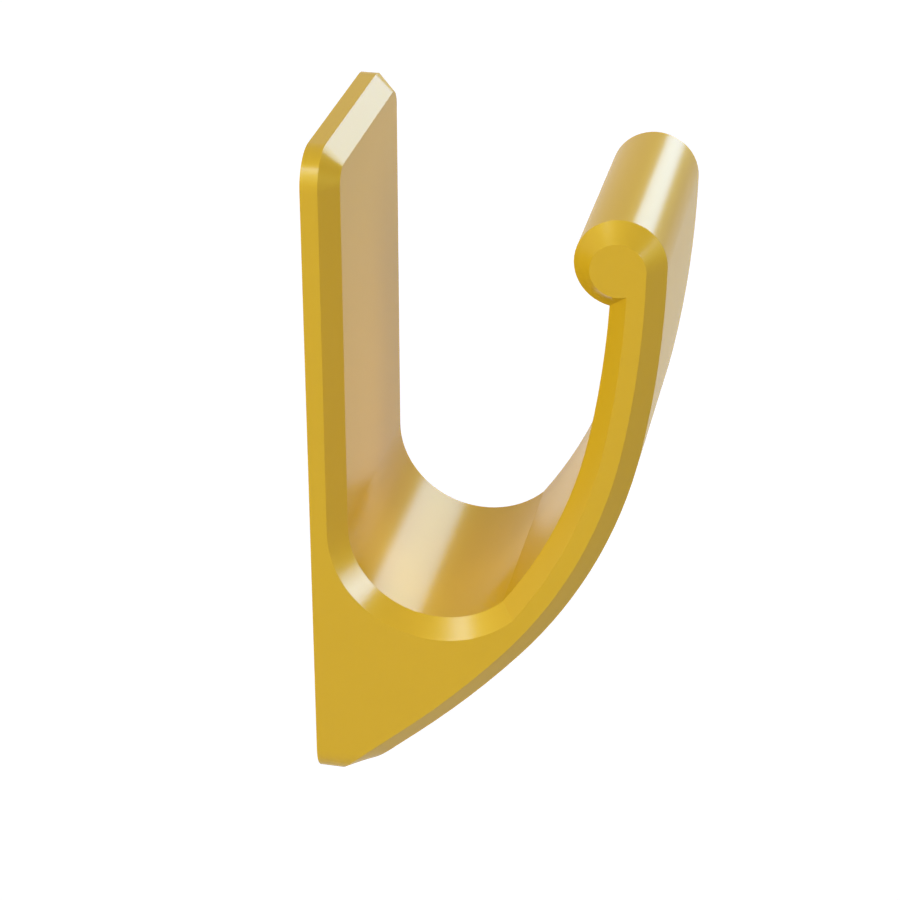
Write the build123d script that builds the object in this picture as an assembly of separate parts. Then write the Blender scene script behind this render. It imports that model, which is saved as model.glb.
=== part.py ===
from build123d import *
import math
import os

# Bath hook, cast in one piece: a flat back plate goes to the wall, and from its foot
# an arm sweeps forward and up and ends in a round bead. What hangs on it sits in the round seat.
# X runs across the hook, the wall is the plane Y = 0 with the hook on its -Y side, Z is up.
# The origin is the centre of the back face. All lengths are in millimetres, angles in degrees.

# Back plate
height = 60.8
width = 23.0
plateThickness = 3.0
cornerRadius = 3.0        # all four corners of the outline seen from the front

# Seat, a round that leaves the front of the plate as its tangent
seatRadius = 8.1
seatHeight = 26.0         # centre of the round above the foot
seatSweep = 140.0         # turn of the round from the plate on, trimmed where it meets the arm

# Outside of the arm, from the foot up: a straight run and three arcs, the last one ending upright
footDepth = 3.2           # flat under the foot, out from the wall
footSlope = 41.8          # rise of the straight run above level
footRun = 7.9
lowerRadius = 90.0
lowerTurn = 8.5
middleRadius = 46.7
middleTurn = 29.5
upperRadius = 94.4

# Arm and the bead along its tip
armThickness = 4.5
beadRadius = 3.8

# Bevel round the whole front, as wide on the sides as on the front
bevel = 1.5

upright = 90.0
upperTurn = upright - footSlope - lowerTurn - middleTurn

# Side profiles are drawn with x out from the wall and y up from the foot
sidePlane = Plane(origin=(0, 0, -height / 2), x_dir=(0, -1, 0), z_dir=(-1, 0, 0))


def polar(length, angle):
    return Vector(length * math.cos(math.radians(angle)), length * math.sin(math.radians(angle)))


def armLine(inset):
    # Outside line of the arm from the foot to the bead, moved into the metal by inset
    foot = Vector(footDepth, 0) + polar(inset, footSlope + upright)
    run = Line(foot, foot + polar(footRun, footSlope))
    lower = JernArc(run @ 1, run % 1, lowerRadius - inset, lowerTurn)
    middle = JernArc(lower @ 1, lower % 1, middleRadius - inset, middleTurn)
    upper = JernArc(middle @ 1, middle % 1, upperRadius - inset, upperTurn)
    return [run, lower, middle, upper]


def closedFace(edges, corners):
    # Face bounded by joined edges and by straight lines through the corners back to their start
    return make_face([*edges, Polyline(edges[-1] @ 1, *corners, edges[0] @ 0)])


armTop = armLine(0)[-1] @ 1
depth = armTop.X
beadCentre = armTop - Vector(beadRadius, 0)


def armProfile(inset):
    outside = armLine(inset)
    inside = armLine(armThickness - inset)
    tip = Line(outside[-1] @ 1, inside[-1] @ 1)
    root = Line(inside[0] @ 0, outside[0] @ 0)
    return make_face([*outside, tip, *inside, root])


def webProfile(inset):
    # The metal under the seat. Past its round the seat would run on straight until it meets the arm.
    seat = JernArc((plateThickness - inset, seatHeight), (0, -1), seatRadius + inset, seatSweep)
    runOut = Line(seat @ 1, seat @ 1 + (seat % 1) * depth)
    underSeat = closedFace([seat, runOut], [((runOut @ 1).X, 0), (0, 0), (0, seatHeight)])
    outside = armLine(inset)
    behindArm = closedFace(outside, [(0, armTop.Y), (0, (outside[0] @ 0).Y)])
    return underSeat & behindArm


def sideProfile(inset):
    bead = Pos(beadCentre) * Circle(beadRadius - inset)
    return webProfile(inset) + armProfile(inset) + bead


def level(rise):
    # The horizontal plane that far above the foot
    return Plane.XY.offset(rise - height / 2)


# Above this level the bevel round the foot's corners has run out into the straight one of the sides
footTop = level(cornerRadius + bevel)


def frontOutline(reach):
    # The rounded front outline, run out from the wall
    return extrude(Plane.XZ * RectangleRounded(width, height, cornerRadius), reach)


def plate():
    blank = frontOutline(plateThickness)
    front = blank.faces().sort_by(Axis.Y)[0]
    return split(chamfer(front.edges(), bevel), level(seatHeight), keep=Keep.TOP)


def foot():
    # Low down the hook is its front outline, cut off in front by the outside of the arm
    outside = armLine(0)
    behindArm = closedFace(outside, [(0, armTop.Y), (0, 0)])
    blank = frontOutline(depth) & extrude(sidePlane * behindArm, width, both=True)
    slope = blank.faces().sort_by_distance(sidePlane.from_local_coords(outside[0] @ 0.5))[0]
    rim = slope.edges().sort_by(Axis.Z)[:-1]
    return split(chamfer(rim, bevel), footTop, keep=Keep.BOTTOM)


def webAndArm():
    core = extrude(sidePlane * sideProfile(0), width / 2 - bevel, both=True)
    inner = sidePlane.offset(width / 2 - bevel) * sideProfile(0)
    outer = sidePlane.offset(width / 2) * sideProfile(bevel)
    flank = loft([inner.face(), outer.face()], ruled=True)
    return split(core + flank + mirror(flank, about=Plane.YZ), footTop, keep=Keep.TOP)


def hook():
    return (plate() + webAndArm() + foot()).solid()


os.makedirs("parts", exist_ok=True)
export_step(hook(), "parts/hook.step")
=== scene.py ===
import bpy
import math
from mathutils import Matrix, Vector


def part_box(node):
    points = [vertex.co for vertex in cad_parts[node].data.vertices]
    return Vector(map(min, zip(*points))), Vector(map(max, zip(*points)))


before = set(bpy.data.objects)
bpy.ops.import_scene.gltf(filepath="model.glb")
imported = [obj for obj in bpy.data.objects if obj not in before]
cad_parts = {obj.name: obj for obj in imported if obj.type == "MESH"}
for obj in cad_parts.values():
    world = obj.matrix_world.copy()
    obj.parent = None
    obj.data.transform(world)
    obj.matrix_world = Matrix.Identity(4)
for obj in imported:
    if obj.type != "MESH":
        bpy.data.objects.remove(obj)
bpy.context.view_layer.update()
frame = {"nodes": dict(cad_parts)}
print("frame loaded:", ", ".join(frame["nodes"]))


def skyDirection(azimuth, elevation):
    # azimuth 0 is straight in front of the hook, 90 to the right of whoever faces it
    a, e = math.radians(azimuth), math.radians(elevation)
    return Vector((math.sin(a) * math.cos(e), -math.cos(a) * math.cos(e), math.sin(e)))


def lookBack(direction):
    # the turn of a lamp or camera that stands in that direction and looks back along it
    return direction.to_track_quat("Z", "Y").to_euler()


def addObject(name, data):
    thing = bpy.data.objects.new(name, data)
    bpy.context.scene.collection.objects.link(thing)
    return thing


def addNode(tree, kind, **values):
    # a node with some of its own settings, and with its input sockets set by name
    node = tree.nodes.new(kind)
    for name, value in values.items():
        if hasattr(node, name):
            setattr(node, name, value)
        else:
            node.inputs[name].default_value = value
    return node


# gold finish, cloudy by a shade, under a clear lacquer
gold = {
    "colour": (0.71, 0.437, 0.016),
    "deepColour": (0.69, 0.422, 0.014),
    "cloudScale": 90,          # clouds per metre
    "cloudDetail": 3,
    "metallic": 0.1,
    "specular": 0,             # the gloss comes from the lacquer
    "roughness": (0.42, 0.48),
    "grainScale": 2600,        # fine cast grain under the lacquer, per metre
    "grainDetail": 2,
    "grainHeight": 0.000004,
    "coatWeight": 0.56,
    "coatRoughness": 0.2,
    "coatIor": 1.5,
}


def goldFinish():
    finish = bpy.data.materials.new("goldFinish")
    finish.use_nodes = True
    tree = finish.node_tree
    shader = tree.nodes["Principled BSDF"]
    place = addNode(tree, "ShaderNodeTexCoord")
    clouds = addNode(tree, "ShaderNodeTexNoise", Scale=gold["cloudScale"], Detail=gold["cloudDetail"])
    tree.links.new(place.outputs["Object"], clouds.inputs["Vector"])
    shade = addNode(tree, "ShaderNodeMix", data_type="RGBA")
    colourA, colourB = [socket for socket in shade.inputs if socket.type == "RGBA"]
    colourA.default_value = (*gold["deepColour"], 1)
    colourB.default_value = (*gold["colour"], 1)
    tree.links.new(clouds.outputs["Fac"], shade.inputs["Factor"])
    tree.links.new(shade.outputs[2], shader.inputs["Base Color"])   # 2 is the mixed colour
    satin = addNode(tree, "ShaderNodeMapRange")
    satin.inputs["To Min"].default_value, satin.inputs["To Max"].default_value = gold["roughness"]
    tree.links.new(clouds.outputs["Fac"], satin.inputs["Value"])
    tree.links.new(satin.outputs["Result"], shader.inputs["Roughness"])
    grain = addNode(tree, "ShaderNodeTexNoise", Scale=gold["grainScale"], Detail=gold["grainDetail"])
    tree.links.new(place.outputs["Object"], grain.inputs["Vector"])
    relief = addNode(tree, "ShaderNodeBump", Distance=gold["grainHeight"])
    tree.links.new(grain.outputs["Fac"], relief.inputs["Height"])
    tree.links.new(relief.outputs["Normal"], shader.inputs["Normal"])
    shader.inputs["Metallic"].default_value = gold["metallic"]
    shader.inputs["Specular IOR Level"].default_value = gold["specular"]
    shader.inputs["Coat Weight"].default_value = gold["coatWeight"]
    shader.inputs["Coat Roughness"].default_value = gold["coatRoughness"]
    shader.inputs["Coat IOR"].default_value = gold["coatIor"]
    return finish


hook = frame["nodes"]["hook"]
hook.material_slots[0].material = goldFinish()
print("hook finished")


def seenRays(tree):
    # 1 for rays from the camera and for what metal and glass show, 0 for light that falls on something
    rays = addNode(tree, "ShaderNodeLightPath")
    total = rays.outputs["Is Camera Ray"]
    for ray in ("Is Glossy Ray", "Is Transmission Ray"):
        either = addNode(tree, "ShaderNodeMath", operation="MAXIMUM")
        tree.links.new(total, either.inputs[0])
        tree.links.new(rays.outputs[ray], either.inputs[1])
        total = either.outputs[0]
    return total


# the hook hangs in the air, held by its back, well above a pale matt floor
stage = {
    "drop": 0.25,              # from the foot of the hook down to the floor
    "size": 3.0,
    "colour": (0.52, 0.52, 0.52),
    "whiteLift": 0.65,         # added where the floor is seen, so that it shows white
}


def makeFloor():
    half = stage["size"] / 2
    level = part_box("hook")[0].z - stage["drop"]
    corners = [(x * half, y * half, level) for x, y in ((-1, -1), (1, -1), (1, 1), (-1, 1))]
    mesh = bpy.data.meshes.new("floor")
    mesh.from_pydata(corners, [], [(0, 1, 2, 3)])
    paint = bpy.data.materials.new("paleFloor")
    paint.use_nodes = True
    tree = paint.node_tree
    shader = tree.nodes["Principled BSDF"]
    shader.inputs["Base Color"].default_value = (*stage["colour"], 1)
    shader.inputs["Roughness"].default_value = 1
    shader.inputs["Specular IOR Level"].default_value = 0
    shader.inputs["Emission Color"].default_value = (1, 1, 1, 1)
    lift = addNode(tree, "ShaderNodeMath", operation="MULTIPLY")
    lift.inputs[1].default_value = stage["whiteLift"]
    tree.links.new(seenRays(tree), lift.inputs[0])
    tree.links.new(lift.outputs[0], shader.inputs["Emission Strength"])
    mesh.materials.append(paint)
    return addObject("floor", mesh)


floor = makeFloor()
print("floor laid")

# soft boxes round the hook, aimed at it. Width and height are the angles that a box spans, seen from
# the hook, light is how bright it is as a light, and shine how bright it shows in the lacquer
softBoxes = {
    "frontRight": {
        "azimuth": 62.6, "elevation": 30, "width": 39.4, "height": 40,
        "light": 3.0, "shine": 8.5,
    },
    "frontLeft": {
        "azimuth": -32, "elevation": 13.1, "width": 10.3, "height": 26.5,
        "light": 6.2, "shine": 31,
    },
    "backLeft": {
        "azimuth": -125.3, "elevation": 28, "width": 27.2, "height": 46,
        "light": 3.8, "shine": 11.8,
    },
}
# a lamp for each part, a little apart, because lamps in the very same place take each other's light
lampParts = {
    "light": {"distance": 3.0, "colour": (1, 1, 1)},
    "shine": {"distance": 2.9, "colour": (0.34, 0.58, 1)},
}


def addSoftBox(name, box, part):
    lamp = bpy.data.lights.new(name, "AREA")
    lamp.shape = "RECTANGLE"
    distance = lampParts[part]["distance"]
    lamp.size = 2 * distance * math.tan(math.radians(box["width"] / 2))
    lamp.size_y = 2 * distance * math.tan(math.radians(box["height"] / 2))
    lamp.energy = box[part] * math.pi * lamp.size * lamp.size_y   # watts for that brightness
    lamp.color = lampParts[part]["colour"]
    towards = skyDirection(box["azimuth"], box["elevation"])
    thing = addObject(name, lamp)
    thing.location = towards * distance
    thing.rotation_euler = lookBack(towards)
    thing.visible_camera = False
    thing.visible_diffuse = part == "light"
    thing.visible_glossy = part == "shine"


for name, box in softBoxes.items():
    for part in lampParts:
        addSoftBox(name + part.capitalize(), box, part)

# the room's own light, stronger from the back left
room = {"level": 0.3, "tilt": (-0.9, 0.9, 0)}


def lightRoom():
    # white wherever it is seen, and as light level * (1 + tilt . direction)
    world = bpy.data.worlds.new("studio")
    world.use_nodes = True
    tree = world.node_tree
    background = tree.nodes["Background"]
    place = addNode(tree, "ShaderNodeTexCoord")
    lean = addNode(tree, "ShaderNodeVectorMath", operation="DOT_PRODUCT")
    lean.inputs[1].default_value = room["tilt"]
    tree.links.new(place.outputs["Generated"], lean.inputs[0])
    level = addNode(tree, "ShaderNodeMath", operation="MULTIPLY_ADD")
    tree.links.new(lean.outputs["Value"], level.inputs[0])
    level.inputs[1].default_value = room["level"]
    level.inputs[2].default_value = room["level"]
    strength = addNode(tree, "ShaderNodeMix", data_type="FLOAT", B=1)
    tree.links.new(seenRays(tree), strength.inputs["Factor"])
    tree.links.new(level.outputs[0], strength.inputs["A"])
    tree.links.new(strength.outputs["Result"], background.inputs["Strength"])
    background.inputs["Color"].default_value = (1, 1, 1, 1)
    bpy.context.scene.world = world


lightRoom()
print("studio lit")

# where the photograph was taken from
view = {
    "azimuth": -77.804,
    "elevation": 28.315,
    "position": (-0.187838, -0.050542, 0.102307),
    "lens": 97.625,
    "sensor": 36,
    "clipStart": 0.01,
}


def addCamera():
    camera = bpy.data.cameras.new("camera")
    camera.sensor_width = view["sensor"]
    camera.lens = view["lens"]
    camera.clip_start = view["clipStart"]
    thing = addObject("camera", camera)
    thing.location = view["position"]
    thing.rotation_euler = lookBack(skyDirection(view["azimuth"], view["elevation"]))
    bpy.context.scene.camera = thing


addCamera()
bpy.context.scene.view_settings.view_transform = "Standard"
print("camera set")
